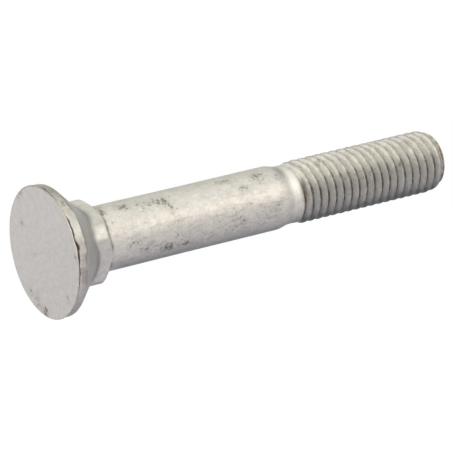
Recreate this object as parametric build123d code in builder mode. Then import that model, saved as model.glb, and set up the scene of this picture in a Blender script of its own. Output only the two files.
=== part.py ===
from build123d import *
import os
from math import atan, ceil, cos, degrees, radians, sqrt, tan

# A forged plow bolt, M12 x 85, in millimetres. It stands on its flat head with its axis along +Z.
# Its origin is the middle of the head face, and the flats of its square neck face X and Y.

# Flat countersunk head
head_d = 24.3
head_face_lip = 0.12
head_rim_h = 1.85
countersink_angle = 90.0
under_head_r = 2.5

# Square neck that keeps the bolt from turning
neck_across_flats = 12.06
neck_corner_r = 1.7
neck_length = 2.4
neck_shoulder_drop = 0.5
neck_core_inset = 0.1

# Plain shank, and the thinner blank that the thread is rolled on
overall_length = 85.0
shank_d = 11.96
taper_length = 2.15
blank_length = 2.1
blank_step = 0.4

# Rolled thread, M12 x 1.75, right-handed. It is drawn shallow: the true thread is 0.975 deep.
thread_d = 11.8
thread_length = 32.7
thread_pitch = 1.75
thread_depth = 0.68
thread_crest_width = 0.35
thread_flank_angle = 60.0
thread_rise_length = 1.6
thread_start_gap = 0.77
cutter_margin = 0.2

# Rounded point, in two cones
point_length = 2.4
point_depth = 1.05
point_knee_length = 1.0
point_knee_depth = 0.3

# Heights and radii that follow
countersink_slope = tan(radians(countersink_angle / 2))
head_rim_r = head_d / 2 - head_face_lip
neck_core_r = neck_across_flats / 2 - neck_core_inset
head_h = head_rim_h + (head_rim_r - neck_core_r) / countersink_slope
neck_top_z = head_h + neck_length
neck_shoulder_z = neck_top_z - neck_shoulder_drop
neck_reach = neck_across_flats / sqrt(2) - neck_corner_r * (sqrt(2) - 1)

thread_r = thread_d / 2
blank_r = thread_r - blank_step
blank_top_z = overall_length - thread_length
taper_top_z = blank_top_z - blank_length
shank_top_z = taper_top_z - taper_length

root_r = thread_r - thread_depth
flank_slope = tan(radians(thread_flank_angle / 2))
root_half_w = (thread_pitch - thread_crest_width) / 2 - thread_depth * flank_slope
groove_depth = thread_depth + cutter_margin
groove_half_w = root_half_w + groove_depth * flank_slope
first_groove_z = blank_top_z + thread_start_gap
groove_turns = ceil((overall_length - first_groove_z) / thread_pitch + 0.5)
run_out_z = first_groove_z - thread_pitch
run_out_depth = groove_depth - blank_step
run_out_cone = degrees(atan(run_out_depth / thread_pitch))


def groove_section(bottom_r, middle_z):
    """The groove's outline in the XZ plane, with the middle of its bottom at bottom_r and middle_z."""
    with BuildSketch(Plane(origin=(bottom_r, 0, middle_z), x_dir=(1, 0, 0), z_dir=(0, 1, 0))) as section:
        with BuildLine():
            Polyline(
                (0, -root_half_w),
                (groove_depth, -groove_half_w),
                (groove_depth, groove_half_w),
                (0, root_half_w),
                close=True,
            )
        make_face()
    return section.sketch


# The neck's square bar. The shoulders at its four corners slope down from the shank.
with BuildPart() as square_neck:
    with BuildSketch():
        RectangleRounded(neck_across_flats, neck_across_flats, neck_corner_r)
    extrude(amount=neck_top_z)
    with BuildSketch(Plane.XZ):
        with BuildLine():
            Polyline(
                (0, 0),
                (neck_reach + neck_corner_r, 0),
                (neck_reach + neck_corner_r, neck_shoulder_z - neck_corner_r),
                (neck_reach, neck_shoulder_z),
                (shank_d / 2, neck_top_z),
                (0, neck_top_z),
                close=True,
            )
        make_face()
    revolve(axis=Axis.Z, mode=Mode.INTERSECT)

# One full turn of the thread's groove
with BuildPart() as groove_turn:
    with BuildLine():
        turn_path = Helix(thread_pitch, thread_pitch, root_r, center=(0, 0, first_groove_z))
    add(groove_section(root_r, first_groove_z))
    sweep(path=turn_path, is_frenet=True)

# The turn in which the groove fades out on the blank
with BuildPart() as run_out:
    with BuildLine():
        run_out_path = Helix(
            thread_pitch / cos(radians(run_out_cone)),
            thread_pitch,
            root_r + run_out_depth,
            center=(0, 0, run_out_z),
            cone_angle=-run_out_cone,
        )
    add(groove_section(root_r + run_out_depth, run_out_z))
    sweep(path=run_out_path, is_frenet=True)

with BuildPart() as plow_bolt:
    # Everything that is round: the head and its countersink, the shank, the blank and the point
    with BuildSketch(Plane.XZ):
        with BuildLine():
            FilletPolyline(
                (head_rim_r, head_rim_h),
                (neck_core_r, head_h),
                (neck_core_r, neck_shoulder_z),
                radius=under_head_r,
            )
            Polyline(
                (neck_core_r, neck_shoulder_z),
                (shank_d / 2, neck_shoulder_z),
                (shank_d / 2, shank_top_z),
                (blank_r, taper_top_z),
                (blank_r, blank_top_z),
                (thread_r, blank_top_z + thread_rise_length),
                (thread_r, overall_length - point_length),
                (thread_r - point_knee_depth, overall_length - point_knee_length),
                (thread_r - point_depth, overall_length),
                (0, overall_length),
                (0, 0),
                (head_d / 2, 0),
                (head_rim_r, head_rim_h),
            )
        make_face()
    revolve(axis=Axis.Z)

    add(square_neck.part)
    for turn in range(groove_turns):
        with Locations((0, 0, turn * thread_pitch)):
            add(groove_turn.part, mode=Mode.SUBTRACT)
    add(run_out.part, mode=Mode.SUBTRACT)

plow_bolt.part.label = "plow_bolt"

os.makedirs("parts", exist_ok=True)
export_step(plow_bolt.part, "parts/plow_bolt.step")
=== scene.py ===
from math import atan, cos, pi, radians, sin, sqrt, tan, tau

import bpy
import numpy as np
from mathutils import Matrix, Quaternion, Vector


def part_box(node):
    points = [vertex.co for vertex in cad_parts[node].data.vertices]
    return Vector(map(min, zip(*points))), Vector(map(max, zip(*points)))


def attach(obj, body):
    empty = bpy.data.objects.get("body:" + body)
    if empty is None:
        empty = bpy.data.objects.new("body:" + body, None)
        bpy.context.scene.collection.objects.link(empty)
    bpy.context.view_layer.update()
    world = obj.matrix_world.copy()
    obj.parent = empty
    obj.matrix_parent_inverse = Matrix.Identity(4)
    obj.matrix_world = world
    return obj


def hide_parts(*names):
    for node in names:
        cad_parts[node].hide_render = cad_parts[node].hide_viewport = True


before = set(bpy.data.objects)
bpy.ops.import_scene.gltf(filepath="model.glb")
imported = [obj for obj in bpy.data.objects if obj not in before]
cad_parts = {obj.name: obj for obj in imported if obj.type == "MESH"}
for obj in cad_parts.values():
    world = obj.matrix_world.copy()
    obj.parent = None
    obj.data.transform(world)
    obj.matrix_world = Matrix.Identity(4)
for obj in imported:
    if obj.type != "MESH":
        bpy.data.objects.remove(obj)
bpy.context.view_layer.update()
_, box_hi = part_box("plow_bolt")

# A dull zinc-coated plow bolt, standing on its head. Its sizes are in millimetres here and become metres when
# the mesh is made. Angles round it are in degrees from +X, and the photo is taken from about 321.
MM = 0.001

# The whole bolt and its head, whose rim is a little smaller than the edge of its face
LENGTH = box_hi.z / MM
FACE_R = box_hi.x / MM
RIM_INSET = 0.12
RIM_R = FACE_R - RIM_INSET
RIM_H = 1.84
LUMP_RISE = 0.3

# The square neck, which is worn at one corner and ends nearer the head beside it
NECK_HALF = 6.0
NECK_CORNER_R = 1.68
WORN_CORNER_R = 7.2
WORN_CORNER_ANGLE = radians(305)
NECK_END_Z = 10.82
NECK_END_DIP = 0.42
SHOULDER_SLOPE = 1.7
CREASE_DEPTH = 0.07

# The round bar before its thread is rolled
SHANK_R = 6.0
SHANK_WAIST = 0.03
BLANK_R = 5.5
THREAD_R = 5.9
END_R = 4.85

# The thread, whose grooves fade in on the blank
PITCH = 1.75
ROOT_R = 4.87
FIRST_GROOVE_Z = 52.93
CREST_HALF = 0.09
FLANK_SLOPE = tan(radians(30))
RUN_OUT_RISE = 0.55
GROOVES_ABOVE_Z = 50
NO_GROOVE_R = 9.0

# The bar's height and radius at each bend. Its point is measured down from the bolt's end.
SHANK = ((0, SHANK_R), (47.5, SHANK_R))
TAPER = ((48.1, 5.98), (48.6, 5.90), (49.8, 5.59), (50.3, 5.52), (51.0, BLANK_R), (52.3, BLANK_R))
RISE = ((52.8, 5.62), (53.4, 5.82), (53.9, THREAD_R))
POINT = (
    (2.6, THREAD_R),
    (2.1, 5.86),
    (1.5, 5.75),
    (1.0, 5.6),
    (0.6, 5.4),
    (0.3, 5.2),
    (0.1, 5.03),
    (0, END_R),
)
STOCK = (*SHANK, *TAPER, *RISE, *((LENGTH - down, r) for down, r in POINT))
STOCK_HEIGHTS, STOCK_RADII = zip(*STOCK)

# The laps low on the rim: their angle, how many degrees wide and how strong
LAPS = (
    (321, 9, 1.3),
    (327, 2.5, 0.7),
    (340, 16, 0.45),
    (303, 8, 0.45),
    (254, 10, 0.5),
    (120, 25, 0.5),
    (190, 16, 0.3),
)

# How finely the mesh is drawn: the columns round it, and the thread's rings, by how far they lie up from the
# middle of a crest
COLUMNS = 176
CREST_TO_GROOVE = (0.0, 0.06, 0.11, 0.28, 0.46, 0.60, 0.68, 0.77, PITCH / 2)
TURN_STEPS = CREST_TO_GROOVE + tuple(PITCH - step for step in CREST_TO_GROOVE[-2:0:-1])
TURNS = 18
HELIX_Z = FIRST_GROOVE_Z - 1.5 * PITCH
HELIX_END_Z = HELIX_Z + TURNS * PITCH
POINT_Z = HELIX_END_Z + PITCH
angles = np.arange(COLUMNS) * tau / COLUMNS


def bell(value, middle, width):
    """1 where value is at the middle, falling away smoothly over about width."""
    return np.exp(-(((value - middle) / width) ** 2))


def facing(theta, degrees, width):
    """1 at that angle round the bolt, falling away smoothly over about width degrees."""
    away = (np.degrees(theta) - degrees + 180) % 360 - 180
    return bell(away, 0, width)


def ragged(theta, seed):
    """Uneven steps round the bolt, from -1 to 1, as along a torn edge."""
    count = 90
    heights = np.random.default_rng(seed).uniform(-1, 1, count)
    return np.interp(theta / tau * count, np.arange(count + 1), np.append(heights, heights[0]))


def smooth_max(a, b, soft):
    """The larger of a and b, with the corner between them rounded over about soft."""
    h = np.clip(0.5 + 0.5 * (a - b) / soft, 0, 1)
    return b + (a - b) * h + soft * h * (1 - h)


def smooth_min(a, b, soft):
    return -smooth_max(-a, -b, soft)


def square_radius(theta):
    """The neck's square with rounded corners, its flats facing X and Y."""
    from_flat = np.abs((theta + tau / 8) % (tau / 4) - tau / 8)
    from_corner = from_flat - tau / 8
    middle = NECK_HALF - NECK_CORNER_R
    reach = middle * sqrt(2)
    flat = NECK_HALF / np.cos(from_flat)
    arc = np.sqrt(np.maximum(NECK_CORNER_R ** 2 - (reach * np.sin(from_corner)) ** 2, 0))
    square = np.where(from_flat < atan(middle / NECK_HALF), flat, reach * np.cos(from_corner) + arc)
    worn = WORN_CORNER_R / np.maximum(np.cos(theta - WORN_CORNER_ANGLE), 0.1)
    return smooth_min(square, worn, 0.3)


def stock_radius(z):
    """The round bar before its thread is rolled: shank, taper, blank, thread crests and point."""
    return np.interp(z, STOCK_HEIGHTS, STOCK_RADII)


def groove_place(theta, z):
    """Where a point lies on the helix: turns along the groove, and mm from the groove's middle."""
    turns = (z - FIRST_GROOVE_Z) / PITCH - theta / tau
    whole = np.round(turns)
    return whole + theta / tau, (turns - whole) * PITCH


def rim_lump(theta):
    """1 where the rim was pushed out over the countersink. This lump ends abruptly at one side."""
    degrees = np.degrees(theta) % 360
    return np.clip((degrees - 284) / 12, 0, 1) - np.clip((degrees - 329) / 2.5, 0, 1)


def worn_rim(theta):
    """1 beyond the lump, where the rim's far edge is worn round."""
    return facing(theta, 350, 26)


def neck_end(theta):
    """The height where the neck ends, which dips beside its worn corner."""
    return NECK_END_Z - NECK_END_DIP * facing(theta, 312, 24)


def body_radius(theta, z):
    """The bolt's radius above its rim."""
    lump = LUMP_RISE * rim_lump(theta) * bell(z, 2.15, 0.4)
    worn = 0.14 * worn_rim(theta) * bell(z, 1.95, 0.45)
    cone = RIM_R - (z - RIM_H) + lump - worn
    square = square_radius(theta)
    shoulder = SHANK_R + (neck_end(theta) - z) * SHOULDER_SLOPE
    neck = smooth_min(square, shoulder, 0.7)
    past_shank = np.clip((square - SHANK_R) / 0.4, 0.2, 1)
    crease = CREASE_DEPTH * past_shank * bell(z, neck_end(theta) + 0.05, 0.14)
    stock = stock_radius(z) - SHANK_WAIST * bell(z, 29, 12) - crease
    turns, off = groove_place(theta, z)
    flank = THREAD_R - (PITCH / 2 - CREST_HALF - np.abs(off)) / FLANK_SLOPE
    groove = smooth_max(flank, ROOT_R, 0.08) + RUN_OUT_RISE * np.maximum(-turns, 0)
    groove = np.where(z > GROOVES_ABOVE_Z, groove, NO_GROOVE_R)
    threaded = smooth_min(stock, groove, 0.04)
    return smooth_max(smooth_max(neck, threaded, 0.04), cone, 1.2)


class Grid:
    """Rings of vertices from the head's middle to the point's middle. A ring may be a turn of a helix."""

    def __init__(self):
        self.points = []
        self.faces = []

    def vertex(self, r, theta, z):
        self.points.append((r * cos(theta) * MM, r * sin(theta) * MM, z * MM))
        return len(self.points) - 1

    def ring(self, r, z):
        """A closed ring. Its radius and its height are each one number, or one for each column."""
        r, z, _ = np.broadcast_arrays(r, z, angles)
        ids = [self.vertex(*place) for place in zip(r, angles, z)]
        return ids + ids[:1]

    def body_ring(self, z):
        return self.ring(body_radius(angles, z), z)

    def middle(self, z):
        """A ring that is one vertex on the axis."""
        return [self.vertex(0, 0, z)] * (COLUMNS + 1)

    def join(self, lower, upper):
        for j in range(COLUMNS):
            corners = (lower[j], lower[j + 1], upper[j + 1], upper[j])
            distinct = list(dict.fromkeys(corners))
            if len(distinct) > 2:
                self.faces.append(distinct)


def face_rings(grid):
    """The head's flat face, as far as its edge."""
    shares = (0.06, 0.14, 0.24, 0.35, 0.46, 0.57, 0.67, 0.76, 0.84, 0.90, 0.945, 0.97, 0.985)
    return [grid.middle(0)] + [grid.ring(FACE_R * share, 0) for share in shares]


def rim_rings(grid):
    """The face's edge, the lap beside it, and the rim with its lump and its worn side."""
    lap = sum(strength * facing(angles, degrees, width) for degrees, width, strength in LAPS)
    jag = ragged(angles, 11)
    lap_depth = 0.07 + 0.42 * lap * (1 + 0.4 * jag)
    lap_low = 0.22 + 0.12 * jag + 0.03 * ragged(angles, 5)
    lap_high = lap_low + 0.08 + 0.48 * lap * (1 + 0.85 * ragged(angles, 17))
    lump = rim_lump(angles)
    bow = 0.08 * lump + 0.02 * ragged(angles, 3)
    worn = worn_rim(angles)
    insets_and_heights = (
        (0.14, 0),
        (0.05, 0.012),
        (0.01, 0.05),
        (0, 0.11),
        (0.02, lap_low - 0.04),
        (RIM_INSET + lap_depth * 0.5, lap_low),
        (RIM_INSET + lap_depth, (lap_low + lap_high) / 2),
        (RIM_INSET + lap_depth * 0.6, lap_high),
        (RIM_INSET + 0.04, lap_high + 0.04),
        (RIM_INSET - bow * 0.4, lap_high + 0.12),
        (RIM_INSET - bow * 0.8, (lap_high + 1.35) / 2),
        (RIM_INSET - bow, 1.2),
        (RIM_INSET - bow + 0.02 * worn, 1.45),
        (0.13 - bow + 0.07 * worn, 1.66),
        (0.17 - bow * 0.6 - 0.06 * lump + 0.11 * worn, 1.80),
        (0.26 - bow * 0.3 - 0.17 * lump + 0.13 * worn, 1.93),
    )
    return [grid.ring(FACE_R - inset, z) for inset, z in insets_and_heights]


def neck_and_shank_rings(grid):
    """The countersink, the neck, the shank and its taper, drawn more finely where the shape turns."""
    countersink = (2.1, 2.25, 2.4, 2.55, 2.75, *np.arange(3.0, 5.0, 0.3))
    neck = (*np.arange(5.0, 9.0, 0.16), *np.arange(9.0, 11.5, 0.08))
    shank = (11.8, 12.3, *np.arange(13.0, 47.2, 1.0))
    taper = np.arange(47.3, 50.2, 0.22)
    return [grid.body_ring(z) for z in (*countersink, *neck, *shank, *taper)]


def thread_rings(grid):
    """The thread's rings, which follow the helix between one flat ring below and one above."""
    flat_low = grid.body_ring(HELIX_Z)
    flat_high = grid.body_ring(POINT_Z)
    turned = angles / tau
    starts = [HELIX_Z + turn * PITCH + step for turn in range(TURNS) for step in TURN_STEPS]
    starts.append(HELIX_END_Z)
    heights = [HELIX_Z + step * turned for step in TURN_STEPS[1:]]
    heights += [start + PITCH * turned for start in starts]
    heights += [HELIX_END_Z + step + (PITCH - step) * turned for step in TURN_STEPS[1:]]

    # The first turn's rings all start at the flat ring below. Each ring ends where the ring one turn ahead
    # starts, and the last turn's rings all end at the flat ring above.
    per_turn = len(TURN_STEPS)
    rows = []
    for i, z in enumerate(heights):
        places = list(zip(body_radius(angles, z), angles, z))
        start = flat_low[0] if i < per_turn else grid.vertex(*places[0])
        rows.append([start] + [grid.vertex(*place) for place in places[1:]])
    rows.append(flat_high[:-1])
    ahead = rows[per_turn:] + rows[-1:] * per_turn
    return [flat_low] + [row + next_turn[:1] for row, next_turn in zip(rows, ahead)]


def point_rings(grid):
    """The rounded point and its flat end."""
    heights = np.append(np.arange(POINT_Z + 0.1, LENGTH - 0.02, 0.1), LENGTH - 0.01)
    rounded = [grid.body_ring(z) for z in heights]
    end = [grid.ring(END_R * share, LENGTH) for share in (0.96, 0.9, 0.75, 0.5, 0.25)]
    return rounded + end + [grid.middle(LENGTH)]


grid = Grid()
rings = []
for part_rings in (face_rings, rim_rings, neck_and_shank_rings, thread_rings, point_rings):
    rings += part_rings(grid)
for lower, upper in zip(rings, rings[1:]):
    grid.join(lower, upper)

mesh = bpy.data.meshes.new("bolt_body")
mesh.from_pydata(grid.points, [], grid.faces)
mesh.validate()
mesh.update()
mesh.shade_smooth()
bolt = bpy.data.objects.new("bolt_body", mesh)
bpy.context.scene.collection.objects.link(bolt)

# Where the coat is stained: mm from the axis, degrees round it, mm up, size along and across, strength
NECK_STAINS = (
    (6, 299, 11.75, 0.35, 0.35, 1.6),
    (6.1, 272, 11.0, 0.9, 1.4, 1.15),
)
SHANK_STAINS = (
    (6, 270, 15.3, 1.2, 1.1, 1.5),
    (6, 275, 21, 3.6, 1.1, 0.8),
    (6, 280, 22.9, 1.4, 1.1, 0.7),
    (6, 292, 23.8, 0.6, 1.8, 0.95),
    (6, 310, 24.4, 0.7, 2.6, 0.85),
    (6, 286, 19, 2.9, 1.8, 0.4),
    (6, 267, 37, 1.5, 0.9, 1.4),
    (6, 273, 44.2, 1.6, 1.2, 1.5),
    (6, 292, 44.4, 0.7, 0.8, 1.1),
    (6, 292, 40, 1.4, 0.9, 1.3),
    (6, 285, 47.9, 1, 1.1, 1.3),
    (6, 325, 39, 3.6, 0.9, 0.5),
    (6, 335, 46, 1.3, 0.9, 0.8),
    (6, 350, 37.5, 2.4, 1.4, 0.55),
    (6, 352, 44, 3.9, 1.8, 0.52),
    (6, 342, 15.2, 1.6, 0.9, 0.75),
    (6, 1, 17.5, 1.2, 0.9, 0.8),
    (6, 7, 22.3, 1.3, 0.8, 1.2),
    (6, 8, 26.2, 0.7, 0.5, 1.1),
    (6, 350, 24, 9.8, 3.1, 0.36),
    (6, 0, 33, 9.8, 2.8, 0.3),
    (6, 25, 24, 13, 2.6, 0.32),
)
UNSEEN_SHANK_STAINS = (
    (6, 70, 20, 3.2, 2.1, 0.9),
    (6, 95, 34, 4.9, 2.1, 0.8),
    (6, 130, 42, 2.9, 1.6, 1),
    (6, 160, 18, 4.1, 1.8, 0.9),
    (6, 190, 30, 3.2, 2.5, 0.9),
    (6, 225, 40, 2.4, 1.8, 0.9),
    (6, 235, 16, 2, 1.4, 0.8),
)
THREAD_STAINS = (
    (5.9, 269, 58.1, 0.8, 0.9, 1.6),
    (5.9, 318, 66.0, 12.0, 1.8, 0.8),
    (5.9, 317, 74.5, 0.5, 0.7, 1.3),
)
HEAD_STAINS = (
    (12, 268, 1.0, 1.0, 2.5, 0.6),
    (11.7, 216, 0, 2.1, 0.9, 1.1),
    (11.5, 207, 0, 2.1, 0.8, 0.9),
    (8.2, 189, 0, 2.1, 1.1, 1.2),
    (3.6, 143, 0, 2.1, 0.8, 1.2),
    (10.3, 23, 0, 2.1, 0.8, 1.15),
    (11.5, 332, 0, 2.1, 0.7, 1.3),
    (11.2, 88, 0, 2.1, 0.9, 0.9),
    (11.6, 74, 0, 2.1, 0.9, 1.1),
    (10.4, 105, 0, 2.1, 1.0, 1.1),
    (9.8, 92, 0, 2.1, 1.1, 0.95),
    (10.9, 75, 0, 2.1, 1.6, 0.75),
)
STAINS = NECK_STAINS + SHANK_STAINS + UNSEEN_SHANK_STAINS + THREAD_STAINS + HEAD_STAINS

# Where the marks are brown, in the same form: at the neck's end, on the head and at both ends of the thread
RUSTS = (
    (6.1, 267, 11.2, 0.8, 1.3, 1.5),
    (6.1, 280, 10.8, 0.4, 0.7, 1.2),
    (12, 284, 1.0, 0.6, 1.6, 1.2),
    (12, 305, 0.8, 0.6, 1.5, 0.4),
    (10.9, 76, 0, 1.0, 1.4, 1.2),
    (5.5, 318, 52.7, 0.5, 1.4, 1.2),
    (5.6, 318, 84.0, 0.6, 1.2, 0.8),
    (5.4, 345, 84.3, 0.5, 2.5, 0.6),
)

# The vertices' own places, for the marks below
x, y, z = (np.array(grid.points) / MM).T
radius = np.hypot(x, y)
theta = np.arctan2(y, x) % tau
square = square_radius(theta)
before_neck = RIM_R - (z - RIM_H) - square
on_rim = (z > 0.5) & (z < 2.3)
outer_head = radius > 11
rim_side = radius > 11.6
in_thread = z > 53.2
off_end_face = radius > 4.8


def near(degrees, width):
    """1 at that angle round the bolt, falling away over about width degrees."""
    return facing(theta, degrees, width)


def spread(places):
    """At each vertex, how strongly the places around it mark it."""
    total = np.zeros(len(x))
    for r, degrees, height, along, across, strength in places:
        off = np.hypot(x - r * cos(radians(degrees)), y - r * sin(radians(degrees)))
        total += strength * np.exp(-((off / across) ** 2) - ((z - height) / along) ** 2)
    return np.minimum(total, 1.6)


def groove_marks():
    """0 at the thread's crests and 1 on the floor of its grooves, for their dirt and painted shade; a little
    less near 281 degrees, where more light falls.
    """
    in_groove = (z > 51.6) & (z < 84.3) & (stock_radius(z) - radius > 0.1)
    depth = np.where(in_groove, (THREAD_R - radius) / (THREAD_R - ROOT_R), 0)
    return np.clip(depth * (1 - 0.12 * near(281, 22)), 0, 1)


def crest_marks():
    """1 on the thread's crests."""
    below_stock = stock_radius(z) - radius
    return np.clip(1.2 - below_stock / 0.12, 0, 1) * np.clip((z - 52.8) / 0.4, 0, 1) * (z < 84)


def lap_marks():
    """1 deep inside the lap, and along its line where it is dirty."""
    deep = np.clip((RIM_R - 0.04 - radius) / 0.1, 0, 1) * (z > 0.12) * (z < 1.1)
    line = 0.75 * near(252, 14) + 0.7 * near(300, 12) + near(345, 22) + 0.65 * near(272, 16)
    return np.clip((deep + line * bell(z, 0.26, 0.13)) * outer_head, 0, 1)


def seam_marks():
    """Brown lines along the edges, and brown film on the rim and in parts of the thread. The film along the
    thread's lower side is painted shade, and the line where the neck ends is partly painted shade in its
    crease.
    """
    rim_end = bell(z, 1.95 + 0.5 * rim_lump(theta), 0.16)
    rim_end_dirt = (0.9 * near(300, 35) + 0.5) * (1 - 0.9 * near(354, 24))
    rim_film = 0.45 * near(345, 16) + 0.4 * near(262, 18) + 0.45 * near(288, 9) + 0.3 * near(322, 7)
    face_edge = (0.8 * near(264, 22) + 0.85 * near(228, 22)) * bell(z, 0.08, 0.16)
    past_shank = np.clip((square - SHANK_R) / 0.4, 0.15, 1)
    films = (
        rim_end * rim_end_dirt * outer_head,
        rim_film * on_rim * rim_side,
        face_edge * (radius > 11.8),
        # A brown line where the neck ends, partly dirt and partly painted shade in its crease
        1.2 * bell(z, neck_end(theta) + 0.02, 0.2) * past_shank,
        1.1 * bell(z, 52.75, 0.45) * near(323, 22) * (radius < 5.7),
        # Painted shade along the thread's lower side
        0.5 * near(42, 18) * in_thread * (z < 84.3),
        1.3 * bell(z, 84.7, 0.3) * (near(315, 60) + 0.3) * (radius > 4.7),
    )
    return np.clip(sum(films), 0, 1)


def painted_shade_marks():
    """Painted shade over the countersink, most of all before the neck's flats, on the neck's top beside the
    countersink, over part of the rim's highlight and along the lower sides of the shank and thread; also
    darker patches on the rim, the taper's top and the thread's start.
    """
    on_cone = np.clip((before_neck + 0.5) / 0.8, 0, 1) * (z > 2.3) * (z < 10)
    shades = (
        (0.46 + 0.72 * bell(before_neck, 0, 1.2)) * on_cone,
        0.9 * near(260, 20) * rim_side * (z > 0.1) * (z < 1.9),
        (0.4 * near(352, 20) + 0.4 * near(310, 18)) * outer_head * on_rim,
        0.5 * near(268, 16) * bell(z, 7.6, 1.3) * (before_neck < 0.3),
        1.1 * near(272, 19) * bell(z, 49.2, 0.95),
        1.2 * near(320, 20) * bell(z, 52.1, 0.35),
        1.6 * near(319, 18) * bell(z, 52.85, 0.36),
        (0.6 * near(332, 20) + 0.8 * near(33, 26)) * in_thread * off_end_face,
        0.8 * near(40, 15) * np.clip((z - 12) / 2, 0, 1) * off_end_face,
    )
    return sum(shades)


for name, values in (
    ("stain", spread(STAINS)),
    ("rust", spread(RUSTS)),
    ("groove", groove_marks()),
    ("crest", crest_marks()),
    ("lap", lap_marks()),
    ("seam", seam_marks()),
    # The painted shade's mask
    ("shade", painted_shade_marks()),
    ("rubbed", near(350, 28) * (z > 13) * (z < 49)),
    ("calm", 0.5 * (z < 0.03)),
    # A painted highlight on the blank before the thread
    ("bright", 0.48 * bell(z, 50.75, 0.9) * (near(300, 42) + 0.25)),
):
    layer = mesh.attributes.new(name, "FLOAT", "POINT")
    layer.data.foreach_set("value", values.astype(np.float32))


class Shader:
    """Adds nodes to the shader of a material or of the world."""

    def __init__(self, owner):
        owner.use_nodes = True
        self.tree = owner.node_tree

    def feed(self, socket, value):
        """Gives an input another node's output, or a constant."""
        if isinstance(value, bpy.types.NodeSocket):
            self.tree.links.new(value, socket)
        else:
            socket.default_value = value

    def node(self, kind, inputs=(), **settings):
        """Adds a node with these settings. Its inputs are named or numbered."""
        made = self.tree.nodes.new("ShaderNode" + kind)
        for key, value in settings.items():
            setattr(made, key, value)
        for key, value in dict(inputs).items():
            self.feed(made.inputs[key], value)
        return made

    def calc(self, operation, *values, clamp=False):
        return self.node("Math", enumerate(values), operation=operation, use_clamp=clamp).outputs[0]

    def times(self, a, b, clamp=False):
        return self.calc("MULTIPLY", a, b, clamp=clamp)

    def ramp(self, value, low, high, to_low=0.0, to_high=1.0):
        inputs = {"Value": value, "From Min": low, "From Max": high, "To Min": to_low, "To Max": to_high}
        return self.node("MapRange", inputs).outputs[0]

    def noise(self, place, per_mm, detail, rough):
        """Noise with about per_mm bumps in each millimetre."""
        inputs = {"Vector": place, "Scale": per_mm / MM, "Detail": detail, "Roughness": rough}
        return self.node("TexNoise", inputs).outputs["Fac"]

    def blend(self, amount, below, above):
        """Colour below, with colour above laid over it by amount."""
        made = self.node("Mix", data_type="RGBA")
        for socket, value in ((made.inputs[0], amount), (made.inputs[6], below), (made.inputs[7], above)):
            self.feed(socket, value)
        return made.outputs[2]

    def marked(self, name):
        return self.node("Attribute", attribute_name=name).outputs["Fac"]


def rgb(red, green, blue):
    return (red, green, blue, 1)


# The coat's colours, what lies on it, and painted shade and a painted highlight
PALE_ZINC = rgb(0.585, 0.575, 0.56)
GREY_ZINC = rgb(0.54, 0.535, 0.53)
MOTTLE = rgb(0.38, 0.375, 0.37)
STREAK = rgb(0.31, 0.305, 0.295)
DARK_GRAIN = rgb(0.33, 0.325, 0.32)
LIGHT_GRAIN = rgb(0.67, 0.66, 0.65)
CALM_FACE = rgb(0.515, 0.51, 0.503)
# A painted highlight, laid on the blank before the thread
PAINTED_HIGHLIGHT = rgb(0.78, 0.77, 0.755)
STAIN_FILM = rgb(0.24, 0.235, 0.215)
SPECK = rgb(0.13, 0.128, 0.112)
RUST = rgb(0.15, 0.10, 0.065)
WORN_CREST = rgb(0.20, 0.19, 0.17)
# Painted shade
PAINTED_SHADE = rgb(0.195, 0.215, 0.235)
# Dirt in the thread's grooves, with painted shade there too
GROOVE_DIRT_AND_SHADE = rgb(0.045, 0.036, 0.028)
# Brown dirt along edges, with painted shade along the thread's lower side and in the neck's crease
SEAM_DIRT_AND_SHADE = rgb(0.13, 0.09, 0.06)
LAP_DIRT = rgb(0.07, 0.045, 0.03)


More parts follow.
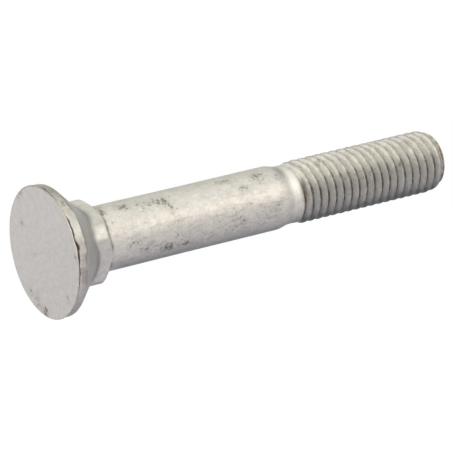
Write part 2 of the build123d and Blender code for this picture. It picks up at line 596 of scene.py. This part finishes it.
def zinc_coat():
    """Dull zinc over forged steel: cloudy, mottled and grainy, with the marks laid over it and painted shade
    and a painted highlight.
    """
    zinc = bpy.data.materials.new("dull_zinc")
    shader = Shader(zinc)
    place = shader.node("TexCoord").outputs["Object"]
    drawn_out = shader.node("Mapping", {"Vector": place, "Scale": (1, 1, 0.3)}).outputs[0]
    clouds = shader.noise(place, 0.2, 4, 0.55)
    mottle = shader.noise(place, 0.8, 4, 0.65)
    grain = shader.noise(place, 3.0, 3, 0.7)
    flecks = shader.noise(place, 1.8, 4, 0.75)
    streaks = shader.noise(drawn_out, 1.5, 4, 0.6)

    # A stronger mark lowers the level above which the flecks show as specks
    stain = shader.marked("stain")
    speck_level = shader.calc("SUBTRACT", 0.69, shader.times(stain, 0.165))
    specks = shader.ramp(shader.calc("SUBTRACT", flecks, speck_level), -0.015, 0.05, 0.0, 0.8)
    rust_level = shader.calc("SUBTRACT", 0.75, shader.times(shader.marked("rust"), 0.25))
    rust = shader.ramp(shader.calc("SUBTRACT", flecks, rust_level), 0.0, 0.08, 0.0, 0.8)

    rubbed = shader.calc("ADD", 0.8, shader.times(shader.marked("rubbed"), 1.2))
    groove_floor = shader.ramp(shader.marked("groove"), 0.80, 0.97, 0.0, 0.95)
    layers = (
        (shader.ramp(mottle, 0.42, 0.68, 0.0, 0.38), MOTTLE),
        (shader.times(shader.ramp(streaks, 0.5, 0.72, 0.0, 0.4), rubbed, clamp=True), STREAK),
        (shader.ramp(grain, 0.45, 0.7, 0.0, 0.35), DARK_GRAIN),
        (shader.ramp(grain, 0.45, 0.3, 0.0, 0.3), LIGHT_GRAIN),
        (shader.marked("calm"), CALM_FACE),
        # A painted highlight on the blank
        (shader.marked("bright"), PAINTED_HIGHLIGHT),
        (shader.times(shader.calc("POWER", stain, 1.6), 0.22, clamp=True), STAIN_FILM),
        (specks, SPECK),
        (rust, RUST),
        (shader.times(shader.marked("crest"), shader.ramp(mottle, 0.4, 0.6, 0.35, 0.7)), WORN_CREST),
        # Painted shade
        (shader.times(shader.marked("shade"), 0.6), PAINTED_SHADE),
        # Dirt and painted shade on the floor of the thread's grooves
        (shader.times(groove_floor, shader.ramp(mottle, 0.35, 0.6, 0.7, 1.0)), GROOVE_DIRT_AND_SHADE),
        # Brown dirt lines and film, with painted shade along the thread's lower side
        (shader.times(shader.marked("seam"), shader.ramp(mottle, 0.35, 0.6, 0.25, 0.85)), SEAM_DIRT_AND_SHADE),
        (shader.times(shader.marked("lap"), 0.9), LAP_DIRT),
    )
    colour = shader.blend(shader.ramp(clouds, 0.35, 0.65), PALE_ZINC, GREY_ZINC)
    for amount, tint in layers:
        colour = shader.blend(amount, colour, tint)

    unevenness = shader.calc("ADD", shader.times(mottle, 1.15), shader.times(grain, 0.5))
    bump = shader.node("Bump", {"Height": unevenness, "Strength": 0.8, "Distance": 0.08 * MM})
    coat = zinc.node_tree.nodes["Principled BSDF"]
    for name, value in (
        ("Base Color", colour),
        ("Metallic", 0.3),
        ("Specular IOR Level", 0.15),
        ("Specular Tint", rgb(0.15, 0.15, 0.15)),
        ("Roughness", shader.ramp(mottle, 0.3, 0.7, 0.36, 0.52)),
        ("Normal", bump.outputs[0]),
    ):
        shader.feed(coat.inputs[name], value)
    return zinc


mesh.materials.append(zinc_coat())

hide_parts("plow_bolt")
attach(bolt, "root")

# The camera looks up at the head's face from one side, and is rolled so that the bolt rises to the right
CAMERA_DISTANCE = 0.5298
CAMERA_AZIMUTH = radians(-38.963)
CAMERA_ELEVATION = radians(-27.290)
LOOK_HEADING = radians(140.660)
LOOK_PITCH = radians(30.794)
CAMERA_ROLL = radians(76.235)
LENS = 238.9
SENSOR_WIDTH = 36


def direction(azimuth, elevation):
    return Vector((cos(elevation) * cos(azimuth), cos(elevation) * sin(azimuth), sin(elevation)))


camera = bpy.data.objects.new("camera", bpy.data.cameras.new("camera"))
bpy.context.scene.collection.objects.link(camera)
camera.data.lens = LENS
camera.data.sensor_width = SENSOR_WIDTH
camera.data.clip_start = 0.01
camera.data.clip_end = 20
camera.location = direction(CAMERA_AZIMUTH, CAMERA_ELEVATION) * CAMERA_DISTANCE
camera.rotation_mode = "QUATERNION"
look = direction(LOOK_HEADING, LOOK_PITCH).to_track_quat("-Z", "Y")
camera.rotation_quaternion = look @ Quaternion((0, 0, 1), CAMERA_ROLL)
bpy.context.scene.camera = camera

# Soft lamps round the middle of the bolt: each one's name, its way in the picture (right, up, towards the
# camera), about how bright it makes a white surface that faces it, and its tint.
LAMP_DISTANCE = 0.7
LAMP_SIZE = 0.5
LAMPS = (
    ("lamp_front", (-0.07, 0.49, 0.87), 0.64, (1, 0.97, 0.71)),
    ("lamp_front_low", (0.2, -0.4, 0.9), 0.34, (0.93, 0.85, 1)),
    ("lamp_right", (0.75, 0.4, 0.5), 0.37, (1, 0.88, 0.74)),
    ("lamp_top_right", (0.65, 0.7, 0.3), 0.08, (1, 1, 1)),
    ("lamp_top", (0.1, 0.98, 0.2), 0.2, (0.95, 1, 1)),
    ("lamp_left", (-0.75, 0.35, 0.55), 0.39, (1, 0.95, 0.76)),
    ("lamp_left_side", (-0.95, 0.25, -0.1), 0.28, (1, 0.89, 0.95)),
    ("lamp_left_back", (-0.65, 0.0, -0.75), 0.31, (0.75, 0.78, 1)),
    ("lamp_low", (0.65, -0.72, 0.15), 0.08, (0.85, 0.85, 1)),
)
middle_of_bolt = Vector((0, 0, box_hi.z / 2))
for name, way, level, tint in LAMPS:
    lamp = bpy.data.objects.new(name, bpy.data.lights.new(name, "AREA"))
    bpy.context.scene.collection.objects.link(lamp)
    lamp.data.shape = "DISK"
    lamp.data.size = LAMP_SIZE
    lamp.data.energy = level * (pi * LAMP_DISTANCE) ** 2
    lamp.data.color = tint
    away = camera.rotation_quaternion @ Vector(way).normalized()
    lamp.location = middle_of_bolt + away * LAMP_DISTANCE
    lamp.rotation_mode = "QUATERNION"
    lamp.rotation_quaternion = away.to_track_quat("Z", "Y")

# A pale floor just under the head. It is drawn only from above, because the photo looks up at the head from
# below it, and it neither shades the bolt nor shows in it. It fades into the backdrop further out.
FLOOR_R = 0.4
FLOOR_Z = -0.0004
FLOOR_SIDES = 96


def floor_paint():
    """Pale paint, seen from above only. It darkens near the bolt in a painted contact shadow and fades out
    towards the floor's edge.
    """
    paint = bpy.data.materials.new("floor_paint")
    shader = Shader(paint)
    paint.node_tree.nodes.clear()
    # A painted contact shadow: the glow darkens near the bolt
    painted_shadow = shader.node("AmbientOcclusion", {"Distance": 0.045}, samples=8).outputs["AO"]
    glow_strength = shader.times(shader.calc("POWER", painted_shadow, 2.5), 0.58)
    glow = shader.node("Emission", {"Color": rgb(1, 1, 1), "Strength": glow_strength})
    pale = shader.node("BsdfDiffuse", {"Color": rgb(0.8, 0.8, 0.8)})
    lit = shader.node("AddShader", {0: pale.outputs[0], 1: glow.outputs[0]})
    place = shader.node("TexCoord").outputs["Object"]
    from_centre = shader.node("VectorMath", {0: place}, operation="LENGTH").outputs["Value"]
    from_below = shader.node("NewGeometry").outputs["Backfacing"]
    unseen = shader.calc("MAXIMUM", shader.ramp(from_centre, 0.1, 0.36), from_below)
    clear = shader.node("BsdfTransparent")
    surface = shader.node("MixShader", {0: unseen, 1: lit.outputs[0], 2: clear.outputs[0]})
    shader.node("OutputMaterial", {"Surface": surface.outputs[0]})
    return paint


floor_mesh = bpy.data.meshes.new("floor")
floor_angles = np.arange(FLOOR_SIDES) * tau / FLOOR_SIDES
outline = [(FLOOR_R * cos(angle), FLOOR_R * sin(angle), FLOOR_Z) for angle in floor_angles]
floor_mesh.from_pydata(outline, [], [list(range(FLOOR_SIDES))])
floor_mesh.materials.append(floor_paint())
floor = bpy.data.objects.new("floor", floor_mesh)
bpy.context.scene.collection.objects.link(floor)
for kind in ("visible_diffuse", "visible_glossy", "visible_transmission", "visible_shadow"):
    setattr(floor, kind, False)


def white_world():
    """A white backdrop for the camera and for reflections, and a much fainter light from all round."""
    world = bpy.data.worlds.new("world")
    shader = Shader(world)
    backdrop = world.node_tree.nodes["Background"]
    backdrop.inputs["Color"].default_value = rgb(1, 1, 1)
    ambient = shader.node("Background", {"Color": rgb(0.85, 0.92, 1), "Strength": 0.04})
    rays = shader.node("LightPath").outputs
    seen = shader.calc("MAXIMUM", rays["Is Camera Ray"], rays["Is Glossy Ray"])
    seen = shader.calc("MAXIMUM", seen, rays["Is Transmission Ray"])
    mix = shader.node("MixShader", {0: seen, 1: ambient.outputs[0], 2: backdrop.outputs[0]})
    shader.feed(world.node_tree.nodes["World Output"].inputs["Surface"], mix.outputs[0])
    return world


bpy.context.scene.world = white_world()
bpy.context.scene.view_settings.view_transform = "Standard"
